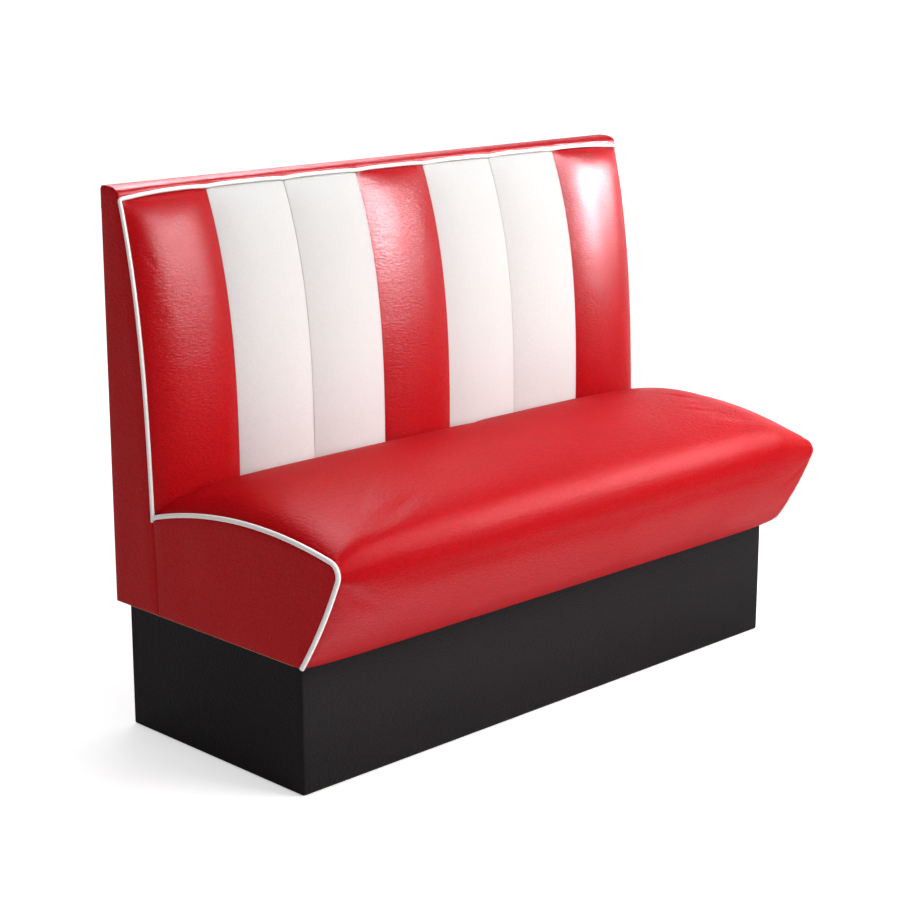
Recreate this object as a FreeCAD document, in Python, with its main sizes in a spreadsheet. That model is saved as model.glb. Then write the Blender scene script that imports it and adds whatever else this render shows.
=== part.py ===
import FreeCAD, Part
import math
import os
import re
import Sketcher

# Upholstered booth bench for a restaurant: a seat unit and a seven-channel back unit stand on one
# base board, and the base board is screwed to a set-back plinth on four nail-on glides.
# Millimetres. X runs along the bench, the front faces -Y, Z is up, and the floor is Z = 0.
CHANNEL_COUNT = 7
SPRING_COUNT = 6
BOLT_COUNT = 4
SIZES = {
    # whole bench
    "bench_width": 1200,
    "bench_depth": 575,
    "bench_height": 920,
    # covering
    "skin": 1.2,
    "clearance": 0.3,
    "seat_welt": 4,
    "back_welt": 3.5,
    "welt_proud": 2.5,
    # plinth
    "plinth_side_inset": 23,
    "plinth_setback": 126,
    "plinth_rear_inset": 7,
    "plinth_board": 18,
    "cover_lift": 2,
    "centre_rail": 18,
    "centre_rail_height": 90,
    "block_side": 45,
    "block_height": 80,
    "glide_radius": 12,
    "glide_height": 5,
    "glide_round": 2,
    "nail_radius": 1.5,
    "nail_length": 18,
    # base board
    "base_board": 12,
    "screw_radius": 2.5,
    "screw_head": 4.5,
    "screw_length": 50,
    "screw_margin": 90,
    # seat frame
    "seat_unit_height": 187,
    "frame_board": 18,
    "front_board": 6,
    "nose_rail": 18,
    "rib_drop": 30,
    # seat springs
    "spring_wire": 1.9,
    "spring_reach": 26,
    "spring_pitch": 21,
    "spring_margin": 128,
    "spring_inset": 12,
    "clip_width": 16,
    "clip_wall": 1,
    "clip_margin": 2,
    "spring_cloth": 0.8,
    # seat cushion, at its ends
    "seat_height": 409,
    "nose_bulge": 16,
    "nose_drop": 28,
    "nose_arch": 6.3,
    "front_lean": 86,
    "front_arch": 4.5,
    "brow_run": 14,
    "top_arch": 27,
    "junction_drop": 18,
    "junction_foam": 41.5,
    "apron": 20,
    # seat cushion, what its middle adds
    "crown_reach": 65,
    "heel_drop": 5,
    "nose_lift": 3,
    "nose_swell": 3,
    "front_swell": 3,
    "brow_lift": 18,
    "brow_pull": 4,
    "top_swell": 2.5,
    "junction_lift": 39,
    # back frame
    "back_depth": 110.5,
    "back_rail": 18,
    "stile_notch": 6,
    "bent_board": 6,
    "rear_board": 4,
    # back cushion
    "end_channel_extra": 10.7,
    "channel_base": 10,
    "channel_bulge": 15,
    "end_channel_bulge": 21,
    "channel_gap": 1,
    "channel_tuck": 1.5,
    "seam_lean": 70.5,
    "edge_lean": 58,
    "edge_start": 4.5,
    "top_drop": 14,
    "top_round": 8,
    "top_lap": 30,
    "welt_corner": 22,
    # bolts between the seat unit and the back unit
    "bolt_radius": 4,
    "bolt_head": 7,
    "bolt_head_height": 5,
    "washer_radius": 10,
    "washer": 1.6,
    "nut_height": 6.5,
    "bolt_margin": 68,
}

# Places worked out from the sizes. An entry may use the entries above it.
PLACES = {
    "rear": "bench_depth / 2",
    "end": "bench_width / 2",
    # side covers and the end boards behind them
    "side_face": "end - welt_proud",
    "board_end": "side_face - skin - clearance",
    "frame_end": "board_end - frame_board",
    "cushion_end": "end - 2 * seat_welt - clearance",
    # plinth
    "plinth_top": "seat_height - seat_unit_height",
    "plinth_end": "end - plinth_side_inset",
    "plinth_front": "plinth_setback - bench_depth / 2",
    "plinth_rear": "rear - plinth_rear_inset",
    "board_foot": "cover_lift + skin",
    "plinth_board_end": "plinth_end - skin",
    "plinth_board_front": "plinth_front + skin",
    "plinth_board_rear": "plinth_rear - skin",
    "plinth_inner_end": "plinth_board_end - plinth_board",
    "plinth_inner_front": "plinth_board_front + plinth_board",
    "plinth_inner_rear": "plinth_board_rear - plinth_board",
    # seat
    "base_top": "plinth_top + base_board",
    "nose_height": "seat_height - nose_drop",
    "junction_height": "seat_height - junction_drop",
    "cushion_foot": "junction_height - junction_foam",
    "spring_level": "cushion_foot - clearance - spring_cloth",
    "deck_height": "spring_level - clip_wall - clearance - 2 * spring_wire",
    "bolt_height": "(base_top + deck_height) / 2",
    "junction": "rear - back_depth",
    "nose": "nose_bulge - bench_depth / 2",
    "nose_chord_run": "brow_run + brow_pull",
    "nose_chord_rise": "nose_drop + brow_lift - nose_lift",
    "nose_chord": "sqrt(pow(nose_chord_run; 2) + pow(nose_chord_rise; 2))",
    "nose_sagitta": "nose_arch + nose_swell",
    "nose_radius": "(pow(nose_chord; 2) / 4 + pow(nose_sagitta; 2)) / (2 * nose_sagitta)",
    "nose_centre": "nose_chord_run / 2 + nose_chord_rise / nose_chord * (nose_radius - nose_sagitta)",
    "nose_overshoot": "nose_radius - nose_centre",
    "heel": "nose + front_lean",
    "front_slope": "front_lean / (nose_height - plinth_top)",
    "board_heel": "heel + apron",
    "front_board_level": "front_board * sqrt(1 + pow(front_slope; 2))",
    "front_rail_front": "board_heel + front_board_level",
    "front_rail_rear": "front_rail_front + frame_board",
    "nose_rail_foot": "deck_height - nose_rail",
    "nose_rail_front": "front_rail_front - front_slope * (nose_rail_foot - plinth_top) + clearance",
    "rear_rail_front": "junction - frame_board",
    # back
    "back_foot": "junction_height - stile_notch",
    "channel_foot": "junction_height + channel_gap",
    "channel_width": f"2 * (cushion_end - end_channel_extra) / {CHANNEL_COUNT}",
    "back_inner": "rear - skin",
    "rear_board_front": "back_inner - rear_board",
    "seam_start": "junction + channel_tuck",
    "seam_top": "seam_start + seam_lean",
    "welt_height": "bench_height - top_drop - clearance",
    "channel_top": "welt_height - back_welt - clearance",
    "stile_step": "channel_base + bent_board + 2 * clearance",
    "top_front": "seam_top + back_welt + clearance",
    "top_slope": "top_drop / (rear - top_round - top_front)",
    "edge_top": "junction + edge_start + edge_lean",
    "edge_welt_height": "welt_height - top_slope * (seam_top - edge_top)",
}


def bound(text):
    """The same sum with every size read from the sheet and every place written out."""
    def word(match):
        name = match.group(0)
        if name in PLACES:
            return "(" + bound(PLACES[name]) + ")"
        return "Sizes." + name if name in SIZES else name
    return re.sub(r"[a-z_]\w*", word, text)


doc = FreeCAD.newDocument("booth_bench")
sheet = doc.addObject("Spreadsheet::Sheet", "Sizes")
for row, (alias, size) in enumerate(SIZES.items(), start=1):
    sheet.set(f"A{row}", alias)
    sheet.set(f"B{row}", str(size))
    sheet.setAlias(f"B{row}", alias)
doc.recompute()


def number(text):
    """The value of a sum of sizes and places, in millimetres."""
    return float(sheet.evalExpression(bound(text)))


NODES = []
SIDES = {"left": -1, "right": 1}


def node(piece):
    """Counts a finished piece among the named sub-parts."""
    NODES.append(piece)
    return piece


def even_shares(count):
    """Evenly spaced shares from -1 to 1."""
    return [2 * place / (count - 1) - 1 for place in range(count)]


def box(label, x, y, z):
    """Board or block between two places on each axis."""
    piece = doc.addObject("Part::Box", label)
    for side, axis, (low, high) in zip(("Length", "Width", "Height"), "xyz", (x, y, z)):
        piece.setExpression(side, bound(f"({high}) - ({low})"))
        piece.setExpression(f"Placement.Base.{axis}", bound(low))
    return piece


def at_side(sign, inner, outer):
    """The x pair of a board near one end, from its distances to the middle of the bench."""
    if sign < 0:
        return (f"-({outer})", f"-({inner})")
    return (inner, outer)


def cylinder(label, radius, height, x, y, z, direction=FreeCAD.Vector(0, 0, 1)):
    """Round piece whose axis starts at a place and runs along a direction."""
    piece = doc.addObject("Part::Cylinder", label)
    piece.Placement.Rotation = FreeCAD.Rotation(FreeCAD.Vector(0, 0, 1), direction)
    piece.setExpression("Radius", bound(radius))
    piece.setExpression("Height", bound(height))
    for axis, place in zip("xyz", (x, y, z)):
        piece.setExpression(f"Placement.Base.{axis}", bound(place))
    return piece


def together(label, pieces):
    """Several like pieces kept as separate solids of one sub-part."""
    group = doc.addObject("Part::Compound", label)
    group.Links = pieces
    return group


def without(label, base, tools):
    """A board with its holes."""
    cut = doc.addObject("Part::Cut", label)
    cut.Base = base
    cut.Tool = tools
    return cut


def profile(label, corners, x):
    """Board cut to a side outline. Each corner is (y, z), with a third entry where an arc of that
    rise, bulging away from the board, leads on to the next corner. Corners run anticlockwise."""
    body = doc.addObject("PartDesign::Body", label)
    sketch = body.newObject("Sketcher::SketchObject", label + "_outline")
    plane = [item for item in body.Origin.OriginFeatures if item.Role == "YZ_Plane"][0]
    sketch.AttachmentSupport = (plane, [""])
    sketch.MapMode = "FlatFace"
    points = [FreeCAD.Vector(number(corner[0]), number(corner[1]), 0) for corner in corners]
    for index, corner in enumerate(corners):
        first, last = points[index], points[(index + 1) % len(points)]
        if len(corner) < 3:
            sketch.addGeometry(Part.LineSegment(first, last), False)
            continue
        chord = last - first
        outward = FreeCAD.Vector(chord.y, -chord.x, 0).normalize()
        middle = (first + last) / 2 + outward * number(corner[2])
        sketch.addGeometry(Part.Arc(first, middle, last), False)
        (y0, z0), (y1, z1) = corner[:2], corners[(index + 1) % len(corners)][:2]
        span = f"(pow(({y1}) - ({y0}); 2) + pow(({z1}) - ({z0}); 2))"
        radius = f"({span} / 4 + pow({corner[2]}; 2)) / (2 * ({corner[2]}))"
        limit = sketch.addConstraint(Sketcher.Constraint("Radius", index, sketch.Geometry[index].Radius))
        sketch.setExpression(f"Constraints[{limit}]", bound(radius))
    for index, corner in enumerate(corners):
        following = (index + 1) % len(corners)
        sketch.addConstraint(Sketcher.Constraint("Coincident", index, 2, following, 1))
        for kind, place, along in (("DistanceX", corner[0], "x"), ("DistanceY", corner[1], "y")):
            distance = getattr(points[index], along)
            pin = sketch.addConstraint(Sketcher.Constraint(kind, -1, 1, index, 1, distance))
            sketch.setExpression(f"Constraints[{pin}]", bound(place))
    pad = body.newObject("PartDesign::Pad", label + "_pad")
    pad.Profile = sketch
    pad.setExpression("Length", bound(f"({x[1]}) - ({x[0]})"))
    body.setExpression("Placement.Base.x", bound(x[0]))
    return body


def shaped(label, shape):
    """Soft or bent piece whose form comes from Part's own functions."""
    piece = doc.addObject("Part::Feature", label)
    piece.Shape = shape
    return piece


# Plinth: a box of boards, glued corner blocks, one rail across the middle and four glides.
BOARD_SPAN = ("board_foot", "plinth_top")
COVER_SPAN = ("cover_lift", "plinth_top")
FULL_END = ("-plinth_board_end", "plinth_board_end")
plinth_plain = {
    "front": box("plinth_front_plain", FULL_END, ("plinth_board_front", "plinth_inner_front"), BOARD_SPAN),
    "rear": box("plinth_rear_plain", FULL_END, ("plinth_inner_rear", "plinth_board_rear"), BOARD_SPAN),
}
INNER_DEPTH = ("plinth_inner_front", "plinth_inner_rear")
for name, sign in SIDES.items():
    x = at_side(sign, "plinth_inner_end", "plinth_board_end")
    node(box(f"plinth_{name}_board", x, INNER_DEPTH, BOARD_SPAN))
    x = at_side(sign, "plinth_board_end", "plinth_end")
    node(box(f"plinth_{name}_cover", x, ("plinth_board_front", "plinth_board_rear"), COVER_SPAN))
COVER_END = ("-plinth_end", "plinth_end")
node(box("plinth_front_cover", COVER_END, ("plinth_front", "plinth_board_front"), COVER_SPAN))
node(box("plinth_rear_cover", COVER_END, ("plinth_board_rear", "plinth_rear"), COVER_SPAN))
rail_span = ("plinth_top - centre_rail_height", "plinth_top")
node(box("plinth_centre_rail", ("-centre_rail / 2", "centre_rail / 2"), INNER_DEPTH, rail_span))


def glide(label, x, y):
    """Nail-on glide: a disc with a rounded foot, and its nail up in the corner block."""
    disc = cylinder(label + "_disc", "glide_radius", "glide_height", x, y, "0")
    nail = cylinder(label + "_nail", "nail_radius", "glide_height / 2 + nail_length", x, y,
                    "glide_height / 2")
    whole = doc.addObject("Part::Fuse", label + "_whole")
    whole.Base = disc
    whole.Tool = nail
    doc.recompute()
    foot = [place for place, edge in enumerate(whole.Shape.Edges, start=1)
            if edge.BoundBox.ZMax < number("glide_height") / 2 and len(edge.Vertexes) == 1]
    rounded = doc.addObject("Part::Fillet", label)
    rounded.Base = whole
    rounded.Edges = [(place, number("glide_round"), number("glide_round")) for place in foot]
    return rounded


blocks = []
for name, sign in SIDES.items():
    for place, inner, outward in (("front", "plinth_inner_front", 1),
                                   ("rear", "plinth_inner_rear", -1)):
        x = at_side(sign, "plinth_inner_end - block_side", "plinth_inner_end")
        y = (inner, f"{inner} + block_side") if outward > 0 else (f"{inner} - block_side", inner)
        z = ("glide_height", "glide_height + block_height")
        centre = (f"({x[0]}) + block_side / 2", f"({y[0]}) + block_side / 2")
        block = box(f"block_{place}_{name}_timber", x, y, z)
        bore = cylinder(f"block_{place}_{name}_bore", "nail_radius", "nail_length", *centre,
                        "glide_height")
        blocks.append(without(f"block_{place}_{name}", block, bore))
        node(glide(f"glide_{place}_{name}", *centre))
node(together("plinth_corner_blocks", blocks))

# Base board, with the screws that hold it down on the plinth.
screws = []
for column, share in enumerate(even_shares(3)):
    for place, y in (("front", "plinth_board_front + plinth_board / 2"),
                     ("rear", "plinth_board_rear - plinth_board / 2")):
        name = f"base_screw_{place}_{column}"
        x = f"{share} * (plinth_board_end - screw_margin)"
        shank = cylinder(name + "_shank", "screw_radius", "screw_length", x, y,
                         "base_top - screw_length")
        head = doc.addObject("Part::Cone", name + "_head")
        head.setExpression("Radius1", bound("screw_radius"))
        head.setExpression("Radius2", bound("screw_head"))
        head.setExpression("Height", bound("screw_head - screw_radius"))
        for axis, where in zip("xyz", (x, y, "base_top - screw_head + screw_radius")):
            head.setExpression(f"Placement.Base.{axis}", bound(where))
        screw = doc.addObject("Part::Fuse", name)
        screw.Base = shank
        screw.Tool = head
        screws.append(screw)
base_screws = node(together("base_screws", screws))
base_plain = box("base_board_plain", ("-board_end", "board_end"), ("board_heel", "back_inner - clearance"),
                 ("plinth_top", "base_top"))
node(without("base_board", base_plain, base_screws))
for place, board in plinth_plain.items():
    node(without(f"plinth_{place}_board", board, base_screws))

# Seat frame: two end boards, a slanted front board, rails, ribs and the springs across them.
FRAME_END = ("-frame_end", "frame_end")


def front_line(z, step="0"):
    """Place of the slanted front board's front face at a height, or a step behind it."""
    return f"board_heel - front_slope * (({z}) - plinth_top) + ({step})"


end_outline = [(front_line("base_top"), "base_top"), ("junction", "base_top"),
               ("junction", "cushion_foot - clearance"),
               (front_line("cushion_foot"), "cushion_foot - clearance")]
for name, sign in SIDES.items():
    node(profile(f"seat_{name}_board", end_outline, at_side(sign, "frame_end", "board_end")))
rib_share = 0.35
front_outline = [(front_line("base_top"), "base_top"),
                 (front_line("base_top", "front_board_level"), "base_top"),
                 (front_line("deck_height", "front_board_level"), "deck_height"),
                 (front_line("deck_height"), "deck_height")]
node(profile("seat_front_board", front_outline, FRAME_END))
node(box("seat_front_rail", FRAME_END, ("front_rail_front", "front_rail_rear"),
         ("base_top", "nose_rail_foot")))
node(box("seat_nose_rail", FRAME_END, ("nose_rail_front", "front_rail_rear"),
         ("nose_rail_foot", "deck_height")))
for name, sign in SIDES.items():
    x = at_side(sign, f"{rib_share} * frame_end - frame_board / 2",
                f"{rib_share} * frame_end + frame_board / 2")
    node(box(f"seat_{name}_rib", x, ("front_rail_rear", "rear_rail_front"),
             ("base_top", "deck_height - rib_drop")))


def wire_path(points, share=0.45):
    """Straight runs joined by tangent arcs, each as large as its two shorter half runs allow."""
    edges = []
    start = points[0]
    for before, corner, after in zip(points, points[1:], points[2:]):
        back, ahead = before - corner, after - corner
        trim = share * min(back.Length, ahead.Length)
        back.normalize()
        ahead.normalize()
        turn = math.pi - back.getAngle(ahead)
        if math.isclose(turn, 0, abs_tol=1e-6):
            continue
        bisector = (back + ahead).normalize()
        radius = trim / math.tan(turn / 2)
        depth = radius / math.cos(turn / 2) - radius
        first, last = corner + back * trim, corner + ahead * trim
        edges.append(Part.LineSegment(start, first).toShape())
        edges.append(Part.Arc(first, corner + bisector * depth, last).toShape())
        start = last
    edges.append(Part.LineSegment(start, points[-1]).toShape())
    return Part.Wire(edges)


def tube(path, radius):
    """Round bar of a given radius along a path."""
    edge = path.Edges[0]
    start, direction = edge.valueAt(edge.FirstParameter), edge.tangentAt(edge.FirstParameter)
    ring = Part.Wire(Part.Circle(start, direction, radius).toShape())
    shell = Part.BRepOffsetAPI.MakePipeShell(path)
    shell.add(ring)
    shell.build()
    shell.makeSolid()
    return shell.shape()


def spring(x):
    """Flat zigzag spring from the nose rail to the rear rail: legs across, half turns between."""
    pitch, reach = number("spring_pitch"), number("spring_reach")
    first = number("front_rail_rear - spring_inset")
    count = round((number("rear_rail_front + spring_inset") - first) / pitch)
    pitch = (number("rear_rail_front + spring_inset") - first) / count
    height = number("deck_height + spring_wire")
    edges = []
    for leg in range(count + 1):
        side = 1 if leg % 2 == 0 else -1
        y = first + leg * pitch
        left = FreeCAD.Vector(x - side * reach, y, height)
        right = FreeCAD.Vector(x + side * reach, y, height)
        edges.append(Part.LineSegment(left, right).toShape())
        if leg < count:
            bend = FreeCAD.Vector(right.x + side * pitch / 2, y + pitch / 2, height)
            edges.append(Part.Arc(right, bend, right + FreeCAD.Vector(0, pitch, 0)).toShape())
    return tube(Part.Wire(edges), number("spring_wire"))


def clip(x, y):
    """Pressed clip that holds a spring's end leg down on its rail."""
    width, foot = number("clip_width"), number("deck_height")
    bore = number("spring_wire + clearance")
    half = bore + number("clip_margin")
    corner = FreeCAD.Vector(x - width / 2, y - half, foot)
    block = Part.makeBox(width, 2 * half, number("spring_level") - foot, corner)
    axis = FreeCAD.Vector(corner.x, y, foot + number("spring_wire"))
    return block.cut(Part.makeCylinder(bore, width, axis, FreeCAD.Vector(1, 0, 0)))


rear_plain = box("rear_rail_plain", FRAME_END, ("rear_rail_front", "junction"), ("base_top", "deck_height"))
spring_xs = [share * number("frame_end - spring_margin") for share in even_shares(SPRING_COUNT)]
node(shaped("seat_springs", Part.makeCompound([spring(x) for x in spring_xs])))
clip_ys = (number("front_rail_rear - spring_inset"), number("rear_rail_front + spring_inset"))
node(shaped("spring_clips", Part.makeCompound([clip(x, y) for x in spring_xs for y in clip_ys])))
cloth_span = ("spring_level", "spring_level + spring_cloth")
node(box("spring_cloth", FRAME_END, ("nose_rail_front", "junction - clearance"), cloth_span))

# Bolts that pull the seat's rear rail and the back's lower rail together.
bolts, washers, nuts, bolt_bores = [], [], [], []
REARWARD = FreeCAD.Vector(0, 1, 0)
bolt_length = "frame_board + back_rail + 2 * washer + nut_height + bolt_radius"
for place, share in enumerate(even_shares(BOLT_COUNT), start=1):
    name = f"bolt_{place}"
    x = f"{share} * (frame_end - bolt_margin)"
    shank = cylinder(name + "_shank", "bolt_radius", bolt_length, x, "rear_rail_front - washer",
                     "bolt_height", REARWARD)
    head = doc.addObject("Part::Prism", name + "_head")
    head.Placement.Rotation = FreeCAD.Rotation(FreeCAD.Vector(0, 0, 1), REARWARD)
    head.Polygon = 6
    head.setExpression("Circumradius", bound("bolt_head"))
    head.setExpression("Height", bound("bolt_head_height"))
    bolt = doc.addObject("Part::Fuse", name)
    bolt.Base = shank
    bolt.Tool = head
    bolts.append(bolt)
    nut = doc.addObject("Part::Prism", name + "_nut_plain")
    nut.Placement.Rotation = head.Placement.Rotation
    nut.Polygon = 6
    nut.setExpression("Circumradius", bound("bolt_head"))
    nut.setExpression("Height", bound("nut_height"))
    for piece, y in ((head, "rear_rail_front - washer - bolt_head_height"),
                     (nut, "junction + back_rail + washer")):
        for axis, where in zip("xyz", (x, y, "bolt_height")):
            piece.setExpression(f"Placement.Base.{axis}", bound(where))
    nuts.append(without(name + "_nut", nut, shank))
    for side, y in (("front", "rear_rail_front - washer"), ("rear", "junction + back_rail")):
        disc = cylinder(f"{name}_washer_{side}_plain", "washer_radius", "washer", x, y, "bolt_height",
                        REARWARD)
        washers.append(without(f"{name}_washer_{side}", disc, shank))
    bolt_bores.append(cylinder(name + "_bore", "bolt_radius + clearance", "frame_board + back_rail", x,
                               "rear_rail_front", "bolt_height", REARWARD))
node(together("joining_bolts", bolts))
node(together("joining_washers", washers))
node(together("joining_nuts", nuts))
bores = together("bolt_bores", bolt_bores)
node(without("seat_rear_rail", rear_plain, bores))


def swell(x):
    """Share of the cushion's crown reached at a distance from its end."""
    distance = number("cushion_end") - abs(x)
    return 1 - math.exp(-distance / number("crown_reach"))


# How far a brow corner moves in and down for each unit that the outline is drawn in.
brow_inset_shares = (0.5, 0.8)


def seat_corners(share, inset):
    """Corners of the seat's outer line at one section, drawn in by an inset, with each arc's rise."""
    def point(y, z, out_y, out_z):
        return FreeCAD.Vector(0, y - out_y * inset, z - out_z * inset)
    slope = number("front_slope")
    flat = math.hypot(1, slope)
    drop = number("heel_drop") * share
    level_share, rise_share = brow_inset_shares
    nose = number("nose") - number("nose_bulge - nose_overshoot") * share
    heel = number("heel") - number("heel_drop") * share / 2
    brow = nose + number("brow_run") + number("brow_pull") * share
    lift = number("seat_height") + number("brow_lift") * share
    return [
        (point(heel, number("plinth_top") - drop, -flat, 0),
         number("front_arch + clearance") + number("front_swell") * share),
        (point(nose, number("nose_height") + number("nose_lift") * share, -1, 0),
         number("nose_arch") + number("nose_swell") * share),
        (point(brow, lift, -level_share, rise_share), number("top_arch") + number("top_swell") * share),
        (point(number("junction - clearance"),
               number("junction_height") + number("junction_lift") * share, 0, 1), 0),
    ]


def arc_edge(first, last, rise, outward):
    """Edge from one point to the next that rises to the outward side of its chord."""
    if rise == 0:
        return Part.LineSegment(first, last).toShape()
    chord = last - first
    across = FreeCAD.Vector(0, chord.z, -chord.y).normalize()
    if across.dot(outward) < 0:
        across = -across
    return Part.Arc(first, (first + last) / 2 + across * rise, last).toShape()


FORWARD_UP = FreeCAD.Vector(0, -1, 1)


def outer_edges(corners, x):
    """The three arcs up the front, round the nose and back over the top, at one x."""
    shift = FreeCAD.Vector(x, 0, 0)
    return [arc_edge(corners[index][0] + shift, corners[index + 1][0] + shift, corners[index][1], FORWARD_UP)
            for index in range(3)]


def foam_section(x):
    """Closed outline of the seat foam at one x: crown and apron outside, deck and front board inside."""
    corners = seat_corners(swell(x), number("skin + clearance"))
    inner = [("junction - clearance", "cushion_foot"),
             (front_line("cushion_foot", "-clearance"), "cushion_foot"),
             (front_line("plinth_top", "-clearance"), "plinth_top")]
    points = [corners[-1][0] + FreeCAD.Vector(x, 0, 0)]
    points += [FreeCAD.Vector(x, number(y), number(z)) for y, z in inner]
    points.append(corners[0][0] + FreeCAD.Vector(x, 0, 0))
    lines = [Part.LineSegment(first, last).toShape() for first, last in zip(points, points[1:])]
    return Part.Wire(outer_edges(corners, x) + lines)


def cover_section(x):
    """Closed outline of the seat's cover at one x: the outer line and the same line one skin in."""
    outside = seat_corners(swell(x), 0)
    inside = seat_corners(swell(x), number("skin"))
    shift = FreeCAD.Vector(x, 0, 0)
    outer, inner = outer_edges(outside, x), outer_edges(inside, x)
    rear_edge = Part.LineSegment(outside[-1][0] + shift, inside[-1][0] + shift).toShape()
    heel_edge = Part.LineSegment(inside[0][0] + shift, outside[0][0] + shift).toShape()
    return Part.Wire(outer + [rear_edge] + inner[::-1] + [heel_edge])


# Sections close together near each end, where the crown rises, as shares of its reach.
crown_shares = (0, 0.2, 0.5, 1, 1.8, 3, 5)
half_stations = [number("cushion_end") - share * number("crown_reach") for share in crown_shares]
stations = [-x for x in half_stations] + [0] + half_stations[::-1]
node(shaped("seat_foam", Part.makeLoft([foam_section(x) for x in stations], True, False)))
node(shaped("seat_cover", Part.makeLoft([cover_section(x) for x in stations], True, False)))

# Flat side covers of the seat, held off the welt by its radius, and the welts along their edges.
welt_inset = "(2 * seat_welt - welt_proud + 3 * clearance)"
side_outline = [(f"heel + {welt_inset} * sqrt(1 + pow(front_slope; 2))", "plinth_top"),
                ("junction - clearance", "plinth_top"),
                ("junction - clearance", f"junction_height - {welt_inset}", "top_arch"),
                (f"nose + brow_run + {brow_inset_shares[0]} * {welt_inset}", f"seat_height - {welt_inset}",
                 "nose_arch / 2"),
                (f"nose + {welt_inset}", "nose_height", "front_arch")]
for name, sign in SIDES.items():
    node(profile(f"seat_{name}_side_cover", side_outline, at_side(sign, "side_face - skin", "side_face")))


def seat_welt_path(x):
    """Path of a seat welt from the front's foot up, round the nose and back to the junction."""
    corners = seat_corners(0, number("seat_welt - welt_proud"))
    points = []
    for index, count in ((0, 4), (1, 3), (2, 10)):
        edge = arc_edge(corners[index][0], corners[index + 1][0], corners[index][1], FORWARD_UP)
        step = (edge.LastParameter - edge.FirstParameter) / count
        points += [edge.valueAt(edge.FirstParameter + step * place) for place in range(count)]
    return wire_path([point + FreeCAD.Vector(x, 0, 0) for point in points + [corners[3][0]]])


for name, sign in SIDES.items():
    path = seat_welt_path(sign * number("end - seat_welt"))
    node(shaped(f"seat_{name}_welt", tube(path, number("seat_welt"))))

# Back frame: end and middle stiles, rails, a bent front board and a flat rear board.
curve_shares = (0, 0.35, 0.55, 0.7, 0.85, 1)
rail_foot_share = 0.85
stile_share = 0.43
channel_rise = "(channel_top - channel_foot)"


def seam_corner(share, step="0"):
    """Corner of a side outline on the line that the seams follow up the back, a step behind it."""
    return (f"seam_start + seam_lean * pow({share}; 3) + {step}", f"channel_foot + {channel_rise} * {share}")


def under_top(y):
    """Height just under the top cover at a place on its slope."""
    return f"bench_height - top_drop + top_slope * (({y}) - top_front) - skin - 2 * clearance"


stile_top = "seam_top + stile_step"
top_corners = [("rear_board_front", "bench_height - top_round / 2"),
               ("rear - top_round", under_top("rear - top_round")),
               (stile_top, under_top(stile_top))]
stile_front = [seam_corner(share, "stile_step") for share in reversed(curve_shares)]
end_stile = [("junction", "base_top"), ("rear_board_front", "base_top"), *top_corners, *stile_front,
             ("junction", "back_foot")]
rail_foot = seam_corner(rail_foot_share)[1]
middle_stile = [("junction + back_rail", "base_top"), ("rear_board_front", "base_top"),
                ("rear_board_front", rail_foot), *stile_front[1:-1], ("junction + back_rail", "channel_foot")]
for name, sign in SIDES.items():
    node(profile(f"back_{name}_stile", end_stile, at_side(sign, "frame_end", "board_end")))
    x = at_side(sign, f"{stile_share} * frame_end - frame_board / 2",
                f"{stile_share} * frame_end + frame_board / 2")
    node(profile(f"back_{name}_middle_stile", middle_stile, x))
top_rail = [(stile_top, rail_foot), ("rear_board_front", rail_foot), *top_corners]
node(profile("back_top_rail", top_rail, FRAME_END))
bent_front = [seam_corner(share, "channel_base + clearance") for share in curve_shares]
bent_rear = [seam_corner(share, "channel_base + clearance + bent_board") for share in curve_shares]
node(profile("back_bent_board", bent_rear + bent_front[::-1], ("-cushion_end", "cushion_end")))
rail_plain = box("back_lower_rail_plain", FRAME_END, ("junction", "junction + back_rail"),
                 ("base_top", "deck_height"))
node(without("back_lower_rail", rail_plain, bores))
node(box("back_rear_board", ("-board_end", "board_end"), ("rear_board_front", "back_inner"),
         ("base_top", "bench_height - top_round - clearance")))

# Back cushion: seven stuffed channels between the seams, each drawn in at its foot and its top.
seam_places = [(place - CHANNEL_COUNT / 2) * number("channel_width") for place in range(1, CHANNEL_COUNT)]
channel_edges = [-number("cushion_end")] + seam_places + [number("cushion_end")]
section_shares = (0, 0.08, 0.2, 0.35, 0.5, 0.65, 0.82, 0.92, 0.97, 1)
bulge_shares = (0.6, 0.9, 1, 1, 1, 1, 1, 0.85, 0.55, 0.15)
edge_lift_share = 0.29


def seam_line(share):
    """Place of the seams at a share of the way up the channels."""
    return number("seam_start") + number("seam_lean") * share ** 3


def edge_lean_at(share):
    """How much of the edge's whole lean is reached at a share of the way up."""
    return edge_lift_share * share + (1 - edge_lift_share) * share ** 3


def line_at(x, share):
    """Place of a channel's edge: on a seam, or at either end on the line that the back welt follows."""
    if abs(x) < number("cushion_end"):
        y = seam_line(share)
        top = number("channel_top")
    else:
        y = number("junction + edge_start") + number("edge_lean") * edge_lean_at(share)
        top = number("edge_welt_height - 2 * back_welt")
    return FreeCAD.Vector(x, y, number("channel_foot") + share * (top - number("channel_foot")))


def channel_section(x_low, x_high, share, bulge):
    """Closed outline across one channel at one height: an arc in front and the frame's line behind."""
    first, last = line_at(x_low, share), line_at(x_high, share)
    first.x += number("clearance / 2")
    last.x -= number("clearance / 2")
    middle = (first + last) / 2 - FreeCAD.Vector(0, max(bulge, number("clearance")), 0)
    rear = [FreeCAD.Vector(end.x, seam_line((end.z - number("channel_foot")) / number(channel_rise))
                           + number("channel_base"), end.z) for end in (first, last)]
    lines = [(last, rear[1]), (rear[1], rear[0]), (rear[0], first)]
    return Part.Wire([Part.Arc(first, middle, last).toShape()]
                     + [Part.LineSegment(*line).toShape() for line in lines])


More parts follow.
